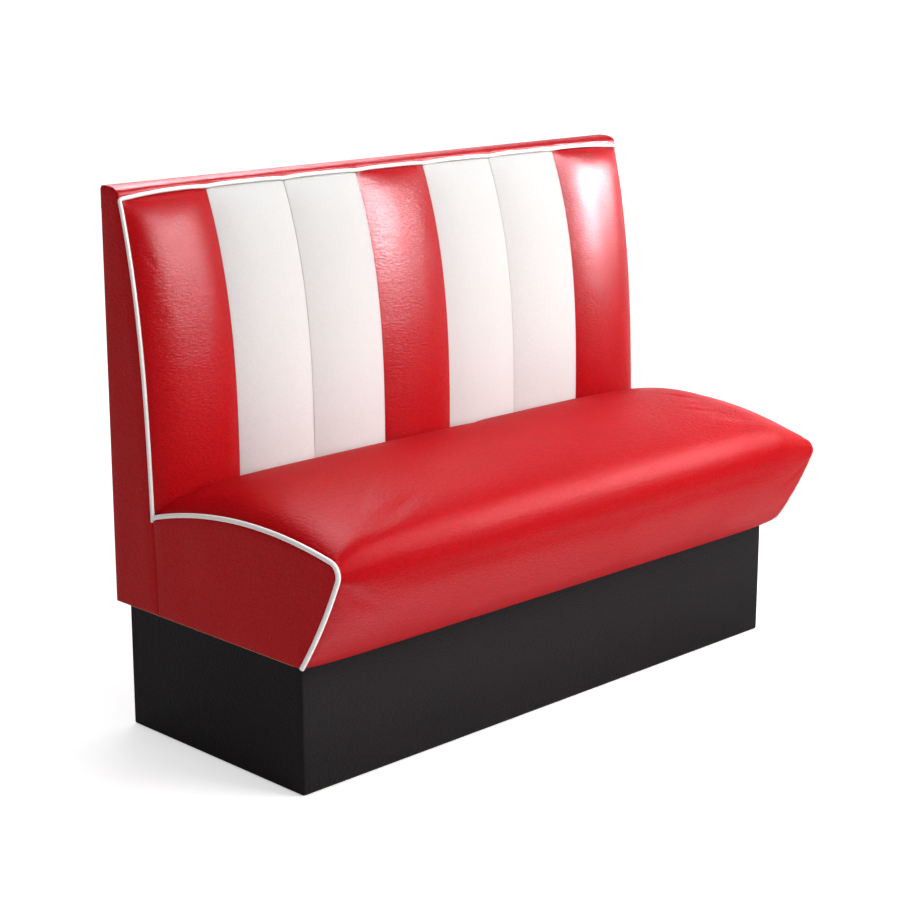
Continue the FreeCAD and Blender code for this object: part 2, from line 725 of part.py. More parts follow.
def seat_envelope_section(x):
    """Closed outline of the room that the seat cushion takes at one x, with a clearance all round."""
    corners = seat_corners(swell(x), -number("clearance"))
    behind = number("junction + clearance")
    points = [corners[-1][0], FreeCAD.Vector(0, behind, corners[-1][0].z),
              FreeCAD.Vector(0, behind, corners[0][0].z), corners[0][0]]
    points = [point + FreeCAD.Vector(x, 0, 0) for point in points]
    lines = [Part.LineSegment(first, last).toShape() for first, last in zip(points, points[1:])]
    return Part.Wire(outer_edges(corners, x) + lines)


seat_envelope = Part.makeLoft([seat_envelope_section(x) for x in stations], True, False)
for place, (x_low, x_high) in enumerate(zip(channel_edges, channel_edges[1:]), start=1):
    bulge = number("end_channel_bulge" if place in (1, CHANNEL_COUNT) else "channel_bulge")
    sections = [channel_section(x_low, x_high, share, bulge * bulge_share)
                for share, bulge_share in zip(section_shares, bulge_shares)]
    roll = Part.makeLoft(sections, True, False)
    node(shaped(f"back_channel_{place}", roll.cut(seat_envelope)))

# Covers of the back: flat sides, flat rear, and the top strip that rolls over the rear edge.
quarter_rise = "top_round * (1 - sqrt(0.5))"
back_inset = "(2 * back_welt - welt_proud + clearance)"


def edge_corner(share):
    """Corner of the side cover, just behind the welt that runs up the back's edge."""
    return (f"junction + edge_start + edge_lean * {edge_lean_at(share)} + {back_inset}",
            f"channel_foot + (edge_welt_height - channel_foot) * {share}")


back_side = [("junction + clearance", "plinth_top"), ("rear", "plinth_top"),
             ("rear", "bench_height - top_round", quarter_rise), ("rear - top_round", "bench_height"),
             *[edge_corner(share) for share in reversed(curve_shares)],
             ("junction + clearance", "back_foot")]
for name, sign in SIDES.items():
    node(profile(f"back_{name}_side_cover", back_side, at_side(sign, "side_face - skin", "side_face")))
rear_span = ("plinth_top", "bench_height - top_round - top_lap - clearance")
node(box("back_rear_cover", ("-board_end", "board_end"), ("back_inner", "rear"), rear_span))


def top_section(x, front):
    """Closed outline of the top strip at one x, from its front edge over the rear corner."""
    skin, turn = number("skin"), number("top_round")
    rear, height = number("rear"), number("bench_height")
    low = height + number("top_slope") * (front - rear + turn)
    centre = FreeCAD.Vector(x, rear - turn, height - turn)
    corner = FreeCAD.Vector(0, math.sqrt(0.5), math.sqrt(0.5))
    lap = FreeCAD.Vector(x, rear, height - turn - number("top_lap"))
    inward = FreeCAD.Vector(0, -skin, 0)
    down = FreeCAD.Vector(0, 0, -skin)
    up, out = FreeCAD.Vector(0, 0, turn), FreeCAD.Vector(0, turn, 0)
    lead = FreeCAD.Vector(x, front, low)
    edges = [Part.LineSegment(lead, centre + up),
             Part.Arc(centre + up, centre + corner * turn, centre + out),
             Part.LineSegment(centre + out, lap),
             Part.LineSegment(lap, lap + inward),
             Part.LineSegment(lap + inward, centre + out + inward),
             Part.Arc(centre + out + inward, centre + corner * (turn - skin), centre + up + down),
             Part.LineSegment(centre + up + down, lead + down),
             Part.LineSegment(lead + down, lead)]
    return Part.Wire([edge.toShape() for edge in edges])


outer_seam = seam_places[-1]
edge_front = number("edge_top + back_welt + clearance")
top_places = [(-number("board_end"), edge_front), (-outer_seam, number("top_front")),
              (outer_seam, number("top_front")), (number("board_end"), edge_front)]
node(shaped("back_top_cover", Part.makeLoft([top_section(*place) for place in top_places], True, True)))

# Back welt: up one edge from the junction, along the top and down the other edge.
welt_x = number("end - back_welt")
corner_run = number("welt_corner")
upright = []
for share in curve_shares[:-1]:
    y = number("junction + edge_start") + number("edge_lean") * edge_lean_at(share)
    z = number("channel_foot") + number("edge_welt_height - channel_foot") * share
    upright.append(FreeCAD.Vector(-welt_x, y, z))
corner = FreeCAD.Vector(-welt_x, number("edge_top"), number("edge_welt_height"))
seam_point = FreeCAD.Vector(-outer_seam, number("seam_top"), number("welt_height"))
below = (upright[-1] - corner).normalize()
along = (seam_point - corner).normalize()
half_welt = upright + [corner + below * corner_run, corner, corner + along * corner_run, seam_point]
mirrored = [FreeCAD.Vector(-point.x, point.y, point.z) for point in reversed(half_welt)]
node(shaped("back_welt", tube(wire_path(half_welt + mirrored), number("back_welt"))))

doc.recompute()
os.makedirs("parts", exist_ok=True)
failed = [item.Label for item in doc.Objects if {"Invalid", "Error"} & set(item.State)]
failed += [item.Label for item in NODES if item.Shape.isNull() or not item.Shape.isValid()]
if failed:
    raise SystemExit("These pieces failed: " + ", ".join(sorted(set(failed))))
for item in NODES:
    item.Shape.exportStep(f"parts/{item.Label}.step")
print(len(NODES), "sub-parts written")
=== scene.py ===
import math
import bmesh
import bpy
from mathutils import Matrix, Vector, noise


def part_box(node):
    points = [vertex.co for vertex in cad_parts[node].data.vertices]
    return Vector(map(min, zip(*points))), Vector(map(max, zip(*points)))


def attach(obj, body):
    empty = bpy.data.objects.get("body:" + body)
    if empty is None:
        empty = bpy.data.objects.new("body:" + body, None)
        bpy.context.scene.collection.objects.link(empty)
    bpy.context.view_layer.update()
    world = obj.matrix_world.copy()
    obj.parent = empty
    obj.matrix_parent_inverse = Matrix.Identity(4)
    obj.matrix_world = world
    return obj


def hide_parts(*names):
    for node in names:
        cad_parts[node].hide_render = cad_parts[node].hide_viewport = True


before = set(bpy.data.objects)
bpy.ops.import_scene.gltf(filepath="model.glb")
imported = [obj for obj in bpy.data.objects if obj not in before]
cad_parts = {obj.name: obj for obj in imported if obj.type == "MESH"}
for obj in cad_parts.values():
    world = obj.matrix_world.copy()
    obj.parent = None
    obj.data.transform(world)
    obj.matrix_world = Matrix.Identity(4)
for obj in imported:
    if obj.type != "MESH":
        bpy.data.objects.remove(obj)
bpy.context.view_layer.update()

# Camera and studio. The bench stands on a seamless white floor, and a long lens looks at it from
# the front left, a little above the back. A key softbox, a low fill, a wide ceiling and the white
# room light the cover evenly; the narrow softboxes are only mirrored and make its highlights.
scene = bpy.context.scene
CAMERA_PLACE = Vector((-2.550, -2.4885, 1.321))
CAMERA_AIM = Vector((0.6810, 0.6909, -0.2428))
LENS_MM = 83.78
SENSOR_MM = 36
CAMERA_REACH = 100
CEILING_POWER = 1.85
CEILING_WIDTH = 75
CEILING_AIM = Vector((-0.3, 0.05, -1))
ROOM_LIGHT = 0.32
ROOM_MIRRORED = 0.06
WHITE_LIGHT = (1, 1, 1)
MIRRORED_LIGHT = (1.0, 0.95, 1.02)
lens = bpy.data.cameras.new("camera")
lens.lens = LENS_MM
lens.sensor_width = SENSOR_MM
lens.clip_end = CAMERA_REACH
camera = bpy.data.objects.new("camera", lens)
camera.location = CAMERA_PLACE
camera.rotation_euler = CAMERA_AIM.to_track_quat("-Z", "Y").to_euler()
scene.collection.objects.link(camera)
scene.camera = camera
scene.view_settings.view_transform = "Standard"
scene.view_settings.look = "None"


def softbox(name, place, aim, size, power, mirrored, spread=180):
    """Rectangular studio light that faces a point of the bench, its beam spread in degrees. A
    mirrored one is only seen as a highlight, and the others only light the cover evenly."""
    light = bpy.data.lights.new(name, "AREA")
    light.shape = "RECTANGLE"
    light.size, light.size_y = size
    light.energy = power
    light.color = MIRRORED_LIGHT if mirrored else WHITE_LIGHT
    light.spread = math.radians(spread)
    lamp = bpy.data.objects.new(name, light)
    lamp.location = place
    lamp.rotation_euler = (Vector(aim) - Vector(place)).to_track_quat("-Z", "Y").to_euler()
    lamp.visible_camera = False
    lamp.visible_diffuse = not mirrored
    lamp.visible_glossy = mirrored
    scene.collection.objects.link(lamp)


softbox("key_softbox", (0.9, -2.05, 1.85), (0.0, 0.2, 0.6), (1.6, 1.0), 60, False)
softbox("foot_fill", (0.3, -2.2, 1.0), (0.3, 0.18, 0.52), (1.6, 0.16), 0.5, False, 15)
softbox("front_highlight", (0.24, -1.15, 1.48), (0.0, 0.2, 0.87), (0.44, 0.38), 26, True, 34)
softbox("left_highlight", (0.58, -1.1, 1.42), (-0.47, 0.17, 0.79), (0.3, 0.3), 3.2, True, 22)
softbox("right_highlight", (1.45, -1.15, 1.44), (0.5, 0.2, 0.88), (0.5, 0.42), 19, True, 20)
softbox("nose_highlight", (1.3, -1.0, 1.55), (0.1, -0.27, 0.36), (1.0, 0.55), 8.8, True, 32)
softbox("floor_card", (0.35, -0.5, 0.02), (0.35, -0.5, 1.0), (1.9, 0.6), 10, True, 110)
softbox("rear_card", (2.4, 1.6, 0.7), (0.45, 0.1, 0.5), (3.0, 1.4), 48, True)
softbox("rear_highlight", (0.70, 1.4, 2.2), (-0.35, 0.25, 0.9), (0.8, 0.9), 100, True)
sky = bpy.data.lights.new("ceiling", "SUN")
sky.energy = CEILING_POWER
sky.angle = math.radians(CEILING_WIDTH)
ceiling = bpy.data.objects.new("ceiling", sky)
ceiling.rotation_euler = CEILING_AIM.to_track_quat("-Z", "Y").to_euler()
ceiling.visible_glossy = False
scene.collection.objects.link(ceiling)

world = bpy.data.worlds.new("studio")
scene.world = world
world.use_nodes = True
room = world.node_tree
ray = room.nodes.new("ShaderNodeLightPath")
fill = room.nodes.new("ShaderNodeMapRange")
fill.inputs["To Min"].default_value = ROOM_LIGHT
fill.inputs["To Max"].default_value = ROOM_MIRRORED
room.links.new(ray.outputs["Is Glossy Ray"], fill.inputs["Value"])
backdrop = room.nodes.new("ShaderNodeMath")
backdrop.operation = "MAXIMUM"
room.links.new(fill.outputs["Result"], backdrop.inputs[0])
room.links.new(ray.outputs["Is Camera Ray"], backdrop.inputs[1])
room.nodes["Background"].inputs["Color"].default_value = (1, 1, 1, 1)
room.links.new(backdrop.outputs[0], room.nodes["Background"].inputs["Strength"])


class Finish:
    """Node material of one finish, built up call by call."""

    def __init__(self, name, **sockets):
        self.material = bpy.data.materials.new(name)
        self.material.use_nodes = True
        self.tree = self.material.node_tree
        self.shader = self.tree.nodes["Principled BSDF"]
        for socket, value in sockets.items():
            self.shader.inputs[socket.replace("_", " ")].default_value = value
        self.place = self.node("ShaderNodeTexCoord").outputs["Object"]

    def node(self, kind, **values):
        made = self.tree.nodes.new(kind)
        for key, value in values.items():
            if hasattr(made, key):
                setattr(made, key, value)
            else:
                self.join(value, made.inputs[key.replace("_", " ")])
        return made

    def join(self, value, socket):
        if isinstance(value, bpy.types.NodeSocket):
            self.tree.links.new(value, socket)
        else:
            socket.default_value = value

    def scaled(self, scale):
        """Object place stretched along its axes, for grain that runs one way."""
        return self.node("ShaderNodeMapping", Vector=self.place, Scale=scale).outputs["Vector"]

    def noise(self, scale, detail=3, place=None):
        made = self.node("ShaderNodeTexNoise", Vector=place or self.place, Scale=scale,
                         Detail=detail)
        return made.outputs["Fac"]

    def pebbles(self, scale, place=None):
        made = self.node("ShaderNodeTexVoronoi", Vector=place or self.place, Scale=scale)
        return made.outputs["Distance"]

    def maths(self, operation, *values):
        made = self.node("ShaderNodeMath", operation=operation)
        for socket, value in zip(made.inputs, values):
            self.join(value, socket)
        return made

    def spread(self, value, low, high, out_low=0, out_high=1):
        """Value stretched from one span of numbers to another."""
        made = self.node("ShaderNodeMapRange", Value=value)
        for socket, number in zip(("From Min", "From Max", "To Min", "To Max"),
                                  (low, high, out_low, out_high)):
            made.inputs[socket].default_value = number
        return made.outputs["Result"]

    def blend(self, share, first, second):
        """Colour between two colours, at a share of the way."""
        made = self.node("ShaderNodeMix", data_type="RGBA")
        self.join(share, made.inputs[0])
        self.join(first, made.inputs[6])
        self.join(second, made.inputs[7])
        return made.outputs[2]

    def bump(self, height, distance, strength=1, under=None):
        made = self.node("ShaderNodeBump", Height=height, Distance=distance, Strength=strength)
        if under:
            self.join(under, made.inputs["Normal"])
        return made.outputs["Normal"]

    def set(self, socket, value):
        self.join(value, self.shader.inputs[socket])


def grey(value):
    """Opaque grey of one value."""
    return (value, value, value, 1)


FLOOR_GLOW = 0.48
FLOOR_HALF = 30
floor_finish = Finish("white_floor", Roughness=0.9, Base_Color=grey(0.9))
speckle = floor_finish.spread(floor_finish.noise(6), 0.3, 0.7)
floor_ray = floor_finish.node("ShaderNodeLightPath")
paper = floor_finish.blend(speckle, grey(0.74), grey(0.77))
paper = floor_finish.blend(floor_ray.outputs["Is Diffuse Ray"], paper, grey(0.85))
paper = floor_finish.blend(floor_ray.outputs["Is Glossy Ray"], paper, grey(0.75))
floor_finish.set("Base Color", paper)
floor_finish.set("Emission Color", grey(1))
floor_finish.set("Emission Strength",
                 floor_finish.spread(floor_ray.outputs["Is Camera Ray"], 0, 1, 0, FLOOR_GLOW))
floor_mesh = bmesh.new()
bmesh.ops.create_grid(floor_mesh, x_segments=2, y_segments=2, size=FLOOR_HALF)
floor_data = bpy.data.meshes.new("studio_floor")
floor_mesh.to_mesh(floor_data)
floor_mesh.free()
floor_data.materials.append(floor_finish.material)
studio_floor = bpy.data.objects.new("studio_floor", floor_data)
scene.collection.objects.link(studio_floor)

# Frame of the bench: birch plywood boards, softwood rails and blocks, glued and screwed. The CAD
# solids stay as they are, and each gets wood whose grain runs along its longest side.
LONG_GRAIN = {"x": (1, 14, 14), "y": (14, 1, 14), "z": (14, 14, 1)}
PATCH_SHADE = 0.86


def wood(name, pale, dark, grain, density):
    """Sawn wood: long streaks of darker grain, and a slightly rough sanded face."""
    finish = Finish(name, Roughness=0.62)
    run = finish.scaled(LONG_GRAIN[grain])
    streaks = finish.spread(finish.noise(density, 6, run), 0.35, 0.68)
    patches = finish.spread(finish.noise(3.5), 0.3, 0.7)
    colour = finish.blend(streaks, (*pale, 1), (*dark, 1))
    worn = (*[part * PATCH_SHADE for part in pale], 1)
    finish.set("Base Color", finish.blend(patches, colour, worn))
    finish.set("Roughness", finish.spread(streaks, 0, 1, 0.55, 0.72))
    finish.set("Normal", finish.bump(finish.noise(density * 4, 4, run), 0.0003, 0.5))
    return finish.material


def long_axis(node):
    """Axis along which a CAD node is longest."""
    low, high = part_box(node)
    size = high - low
    return "xyz"[max(range(3), key=lambda axis: size[axis])]


def paint(material, *nodes):
    """Gives CAD nodes a better material."""
    for node in nodes:
        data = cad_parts[node].data
        data.materials.clear()
        data.materials.append(material)


PLYWOOD_NODES = [
    "base_board", "seat_front_board", "seat_left_board", "seat_right_board", "seat_left_rib",
    "seat_right_rib", "back_left_stile", "back_right_stile", "back_left_middle_stile",
    "back_right_middle_stile", "back_bent_board", "back_rear_board", "plinth_front_board",
    "plinth_rear_board", "plinth_left_board", "plinth_right_board"]
TIMBER_NODES = [
    "plinth_centre_rail", "plinth_corner_blocks", "seat_front_rail", "seat_nose_rail",
    "seat_rear_rail", "back_lower_rail", "back_top_rail"]
plywood = {axis: wood(f"birch_plywood_{axis}", (0.60, 0.44, 0.27), (0.42, 0.27, 0.14), axis, 7)
           for axis in "xyz"}
timber = {axis: wood(f"softwood_{axis}", (0.56, 0.38, 0.20), (0.36, 0.20, 0.09), axis, 4)
          for axis in "xyz"}
for node in PLYWOOD_NODES:
    paint(plywood[long_axis(node)], node)
for node in TIMBER_NODES:
    paint(timber[long_axis(node)], node)

# Springs, clips and fasteners: zigzag springs of oiled wire in pressed clips on the seat's rails,
# zinc-plated screws and bolts, and nail-on nylon glides under the plinth's corner blocks.
wire = Finish("oiled_spring_wire", Metallic=1.0, Roughness=0.42, Base_Color=(0.16, 0.15, 0.15, 1))
smears = wire.spread(wire.noise(60), 0.3, 0.7)
wire.set("Base Color", wire.blend(smears, (0.13, 0.12, 0.12, 1), (0.27, 0.26, 0.25, 1)))
wire.set("Roughness", wire.spread(smears, 0, 1, 0.34, 0.5))
wire.set("Normal", wire.bump(wire.noise(900), 0.0001, 0.3))
paint(wire.material, "seat_springs", "spring_clips")
zinc = Finish("zinc_plate", Metallic=1.0, Roughness=0.35, Base_Color=(0.6, 0.62, 0.64, 1))
bloom = zinc.spread(zinc.pebbles(300), 0, 0.7)
zinc.set("Base Color", zinc.blend(bloom, (0.62, 0.64, 0.66, 1), (0.48, 0.50, 0.53, 1)))
zinc.set("Roughness", zinc.spread(bloom, 0, 1, 0.28, 0.46))
paint(zinc.material, "base_screws", "joining_bolts", "joining_washers", "joining_nuts")
nylon = Finish("moulded_nylon", Roughness=0.5, Base_Color=(0.72, 0.71, 0.66, 1))
scuffs = nylon.spread(nylon.noise(220), 0.4, 0.7)
nylon.set("Base Color", nylon.blend(scuffs, (0.74, 0.73, 0.68, 1), (0.5, 0.49, 0.46, 1)))
nylon.set("Normal", nylon.bump(nylon.noise(700), 0.0001, 0.4))
paint(nylon.material, "glide_front_left", "glide_front_right", "glide_rear_left",
      "glide_rear_right")

# Spring cloth: a bonded fibre sheet that keeps the foam off the springs, stapled round its edge.
felt = Finish("bonded_fibre_cloth", Roughness=0.95, Base_Color=(0.2, 0.18, 0.16, 1))
fibres = felt.spread(felt.noise(500, 8, felt.scaled((1, 2.5, 1))), 0.35, 0.65)
felt.set("Base Color", felt.blend(fibres, (0.17, 0.15, 0.13, 1), (0.33, 0.31, 0.28, 1)))
felt.set("Normal", felt.bump(fibres, 0.0004, 0.6))
paint(felt.material, "spring_cloth")

# Plinth cover: black leatherette pulled round the plinth's box, sewn at each front and rear
# corner, folded under at the foot and stapled inside.
SLOW_SCALE = 5
RIPPLE_SCALE = 60
WOBBLE_SCALE = 90
MOTTLE_SCALE = 130
PEBBLE_SCALE = 760
FINE_SCALE = 2600
PEBBLE_WOBBLE = 0.004
RIPPLE_DEPTH = 0.0006
GRAIN_DEPTH = 0.00022
CREASE_ANGLE = 48


def leatherette(name, pale, deep, roughness, grain, shine, shade):
    """Coated upholstery cloth: pebble grain of about a millimetre, a soft shine that dulls where
    the surface turns away, and slow changes of colour and gloss."""
    finish = Finish(name, Roughness=roughness, IOR=shine)
    slow = finish.spread(finish.noise(SLOW_SCALE, 4), 0.3, 0.7)
    wobble = finish.node("ShaderNodeVectorMath", operation="SCALE")
    cloud = finish.node("ShaderNodeTexNoise", Vector=finish.place, Scale=WOBBLE_SCALE)
    finish.join(cloud.outputs["Color"], wobble.inputs[0])
    finish.join(PEBBLE_WOBBLE, wobble.inputs["Scale"])
    bent = finish.node("ShaderNodeVectorMath", operation="ADD")
    finish.join(finish.place, bent.inputs[0])
    finish.join(wobble.outputs[0], bent.inputs[1])
    pebble = finish.spread(finish.pebbles(PEBBLE_SCALE, bent.outputs[0]), 0.0, 0.75)
    # Painted shade: the colour darkens in the creases between the pebbles, where the bump sinks.
    painted_crease_shade = finish.spread(pebble, 0.62, 1.0)
    fine = finish.noise(FINE_SCALE, 2)
    mottle = finish.spread(finish.noise(MOTTLE_SCALE, 5, finish.scaled((1, 1, 2.4))), 0.36, 0.64)
    colour = finish.blend(slow, (*pale, 1), (*deep, 1))
    # Darker colour for the cloth's own random mottle and for the painted shade in the pebble
    # creases.
    dark = (*[part * shade for part in deep], 1)
    share = finish.maths("MULTIPLY_ADD", mottle, 0.22, painted_crease_shade)
    share.use_clamp = True
    finish.set("Base Color", finish.blend(share.outputs[0], colour, dark))
    facing = finish.node("ShaderNodeLayerWeight", Blend=0.5).outputs["Facing"]
    sheen = finish.maths("ADD", finish.spread(slow, 0, 1, roughness - 0.04, roughness + 0.05),
                         finish.spread(facing, 0.45, 0.8, 0, 0.2))
    finish.set("Roughness", sheen.outputs[0])
    ripples = finish.bump(finish.noise(RIPPLE_SCALE, 3), RIPPLE_DEPTH, 0.35)
    ripples = finish.bump(mottle, RIPPLE_DEPTH * grain, 0.6, ripples)
    height = finish.maths("SUBTRACT", fine, pebble)
    finish.set("Normal", finish.bump(height.outputs[0], GRAIN_DEPTH * grain, 0.7, ripples))
    return finish.material


def settle(name, mesh, material, slot, *nodes, fill=None):
    """Turns a finished bmesh into a piece of the bench, in place of its CAD nodes."""
    bmesh.ops.recalc_face_normals(mesh, faces=mesh.faces)
    data = bpy.data.meshes.new(name)
    mesh.to_mesh(data)
    mesh.free()
    data.materials.append(material)
    for polygon in data.polygons:
        polygon.use_smooth = True
    data.set_sharp_from_angle(angle=math.radians(CREASE_ANGLE))
    made = bpy.data.objects.new(name, data)
    scene.collection.objects.link(made)
    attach(made, "root")
    if nodes:
        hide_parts(*nodes)
    return made


black = leatherette("black_leatherette", (0.012, 0.0100, 0.0103), (0.015, 0.0125, 0.013),
                    roughness=0.5, grain=1.3, shine=1.17, shade=0.7)
PLINTH_CORNER = 0.0036
PLINTH_SKIN = 0.0012
PLINTH_CUTS = (0.0035, 0.006, 0.03, 0.06, 0.10, 0.14, 0.18, 0.205)
PLINTH_COLUMNS = 60
PLINTH_DEPTH_CUTS = 24
PLINTH_TUCK = 0.0008
PLINTH_EDGE = 0.02
PLINTH_MIDDLE = 0.06
WAVE_HEIGHT = 0.0005
WAVE_SCALE = 9
WAVE_SINK = 0.3
TOUCH = 0.001
plinth_low = Vector((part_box("plinth_left_cover")[0].x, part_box("plinth_front_cover")[0].y,
                     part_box("plinth_front_cover")[0].z))
plinth_high = Vector((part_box("plinth_right_cover")[1].x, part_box("plinth_rear_cover")[1].y,
                      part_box("plinth_front_cover")[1].z))
wrap = bmesh.new()
bmesh.ops.create_cube(wrap, size=1)
bmesh.ops.scale(wrap, vec=plinth_high - plinth_low, verts=wrap.verts)
bmesh.ops.translate(wrap, vec=(plinth_low + plinth_high) / 2, verts=wrap.verts)
uprights = [edge for edge in wrap.edges
            if abs(edge.verts[0].co.z - edge.verts[1].co.z) > 0.1]
bmesh.ops.bevel(wrap, geom=uprights, offset=PLINTH_CORNER, affect="EDGES", segments=5, profile=0.5,
                material=-1)
caps = [face for face in wrap.faces if abs(face.normal.z) > 0.9]
bmesh.ops.delete(wrap, geom=caps, context="FACES_ONLY")


def cut_across(mesh, place, normal):
    """Cuts every face of a mesh along a plane."""
    bmesh.ops.bisect_plane(mesh, geom=mesh.verts[:] + mesh.edges[:] + mesh.faces[:],
                           plane_co=place, plane_no=normal)


for height in PLINTH_CUTS:
    cut_across(wrap, (0, 0, height), (0, 0, 1))
for step in range(1, PLINTH_COLUMNS):
    x = plinth_low.x + (plinth_high.x - plinth_low.x) * step / PLINTH_COLUMNS
    cut_across(wrap, (x, 0, 0), (1, 0, 0))
for step in range(1, PLINTH_DEPTH_CUTS):
    y = plinth_low.y + (plinth_high.y - plinth_low.y) * step / PLINTH_DEPTH_CUTS
    cut_across(wrap, (0, y, 0), (0, 1, 0))
for vert in wrap.verts:
    if vert.co.z < plinth_low.z + TOUCH:
        vert.co += Vector((-math.copysign(PLINTH_TUCK, vert.co.x),
                           -math.copysign(PLINTH_TUCK, vert.co.y), 0))
    flat = abs(vert.co.x) < plinth_high.x - TOUCH or \
        plinth_low.y + PLINTH_EDGE < vert.co.y < plinth_high.y - PLINTH_EDGE
    if flat and vert.co.z > plinth_low.z + TOUCH:
        wave = WAVE_HEIGHT * (noise.noise(vert.co * WAVE_SCALE) - WAVE_SINK)
        at_end = abs(vert.co.x) > plinth_high.x - TOUCH
        vert.co.x += math.copysign(wave, vert.co.x) if at_end else 0
        vert.co.y += math.copysign(wave, vert.co.y - PLINTH_MIDDLE)
bmesh.ops.recalc_face_normals(wrap, faces=wrap.faces)
bmesh.ops.solidify(wrap, geom=wrap.faces[:], thickness=PLINTH_SKIN)
settle("plinth_cover", wrap, black, "black_leatherette", "plinth_front_cover", "plinth_rear_cover",
       "plinth_left_cover", "plinth_right_cover")

# Seat cushion: one moulded foam block with a rolled nose and a crowned top, under one sheet of red
# leatherette that is sewn to the welts at both ends, pulled down behind the back's foot and
# stapled under the front.
RED_PALE = (0.50, 0.0036, 0.0072)
RED_DEEP = (0.46, 0.0028, 0.0056)
red = leatherette("red_leatherette", RED_PALE, RED_DEEP, roughness=0.34, grain=0.75, shine=1.16,
                  shade=0.6)
CUSHION_END = 0.5917
CROWN_REACH = 0.052
CROWN_POWER = 0.64
SEAT_JUNCTION = 0.1767
SEAT_BASE = 0.3495
NOSE_SHARE = 0.24
BROW_SHARE = 0.36
NOSE_PULL = (0.47, 0.60)
# Heel, nose, brow and junction of the outer line: y and z at the welt, then what the full crown
# and the pull at the right end add to each.
SEAT_CORNERS = (
    ((-0.1855, -0.0025, 0), (0.222, -0.005, 0)),
    ((-0.2715, -0.0120, 0.006), (0.381, -0.009, -0.012)),
    ((-0.2575, 0.0255, 0.012), (0.409, 0.032, -0.018)),
    ((SEAT_JUNCTION, 0, 0), (0.391, 0.033, 0)))
# Rise of the front, the nose and the top over their chords: at the welt, and added by the crown.
FRONT_RISE = (0.0045, 0.006)
NOSE_RISE = (0.0063, 0.0090)
TOP_RISE = (0.027, 0.0085)
SEEN_ROWS = 0.82
HIDDEN_ROWS = 0.18


def swell(x):
    """Share of the crown reached at a distance from the cushion's end: steep beside the welt."""
    return (1 - math.exp(-max(CUSHION_END - abs(x), 0) / CROWN_REACH)) ** CROWN_POWER


def arc_point(first, last, rise, share):
    """Point at a share along a shallow arc that rises to the left of its chord."""
    chord = last - first
    radius = (chord.length_squared / 4 + rise * rise) / (2 * rise)
    angle = 2 * math.asin(min(chord.length / (2 * radius), 1))
    along = 0.5 + math.sin((share - 0.5) * angle) / (2 * math.sin(angle / 2))
    height = rise - radius * (1 - math.cos((share - 0.5) * angle))
    across = Vector((-chord.y, chord.x)).normalized()
    return first + chord * along + across * height


def smooth_step(value, low, high):
    """Share of the way from low to high, eased at both ends."""
    share = min(max((value - low) / (high - low), 0), 1)
    return share * share * (3 - 2 * share)


def seat_corners(x):
    """Heel, nose, brow and junction of the seat's outer line at one x, as (y, z). The cover is
    pulled tighter over the nose at the right end."""
    share, pull = swell(x), smooth_step(x, *NOSE_PULL)
    return [Vector([flat + crowned * share + pulled * pull for flat, crowned, pulled in corner])
            for corner in SEAT_CORNERS]


def seat_outline(x, share):
    """Point of the seat's outer line at a share of the way from the heel to the junction."""
    heel, nose, brow, junction = seat_corners(x)
    crown = swell(x)
    if share < NOSE_SHARE:
        return arc_point(heel, nose, FRONT_RISE[0] + FRONT_RISE[1] * crown, share / NOSE_SHARE)
    if share < BROW_SHARE:
        return arc_point(nose, brow, NOSE_RISE[0] + NOSE_RISE[1] * crown,
                         (share - NOSE_SHARE) / (BROW_SHARE - NOSE_SHARE))
    along = (share - BROW_SHARE) / (1 - BROW_SHARE)
    rise = (TOP_RISE[0] + TOP_RISE[1] * crown) * (1 - (2 * along - 1) ** 2)
    return brow.lerp(junction, along) + Vector((0, rise))


def seat_height(x, y):
    """Height of the seat's top at a place near its junction with the back."""
    ahead, behind = seat_outline(x, 0.94), seat_outline(x, 1)
    share = (y - ahead.x) / (behind.x - ahead.x)
    return ahead.y + (behind.y - ahead.y) * share


def loop_sheet(columns, rows, place):
    """Grid of quads whose rows close on themselves, each vertex put where place(u, v) says."""
    sheet = bmesh.new()
    bmesh.ops.create_grid(sheet, x_segments=columns, y_segments=rows, size=1)
    for vert in sheet.verts:
        vert.co = place((vert.co.x + 1) / 2, (vert.co.y + 1) / 2)
    bmesh.ops.remove_doubles(sheet, verts=sheet.verts, dist=1e-5)
    return sheet


def close_ends(sheet):
    """Fills the open ends of a tube of quads."""
    rims = [edge for edge in sheet.edges if edge.is_boundary]
    bmesh.ops.holes_fill(sheet, edges=rims, sides=0)
    bmesh.ops.triangulate(sheet, faces=[face for face in sheet.faces if len(face.verts) > 4])


CASE_CLOTH = {
    "quality": 6, "mass": 0.35, "tension_stiffness": 60, "compression_stiffness": 60,
    "shear_stiffness": 30, "bending_stiffness": 0.6, "air_damping": 6, "use_pressure": True,
    "vertex_group_mass": "sewn", "pin_stiffness": 1}
STUFF_FRAMES = 20


